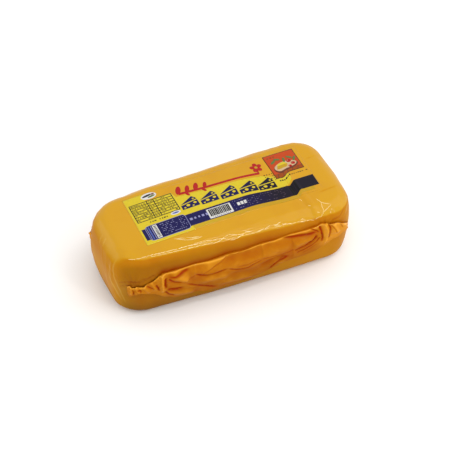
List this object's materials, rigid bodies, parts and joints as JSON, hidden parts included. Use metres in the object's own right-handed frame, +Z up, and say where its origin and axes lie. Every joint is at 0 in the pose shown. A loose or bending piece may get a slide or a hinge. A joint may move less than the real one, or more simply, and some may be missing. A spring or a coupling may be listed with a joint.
{
  "type": "wrapped cheese loaf",
  "caption": "Rectangular loaf of semi-hard cheese in a tight yellow film wrap, with gathered film fins along both long sides and a printed label on top.",
  "frame": {"origin": "middle of the underside, at the centre of the box round the loaf and its fins", "axes": "+X along the loaf towards its broader end, -Y out of the long side below the label's dark band, +Z up"},
  "size_m": [0.3098, 0.1551, 0.0965],
  "materials": {
    "yellow_film": "glossy yellow-orange shrink film over cheese",
    "printed_label": "printed film label, smooth"
  },
  "bodies": {
    "root": {"wrapped_loaf": "yellow_film", "label": "printed_label"}
  },
  "joints": []
}
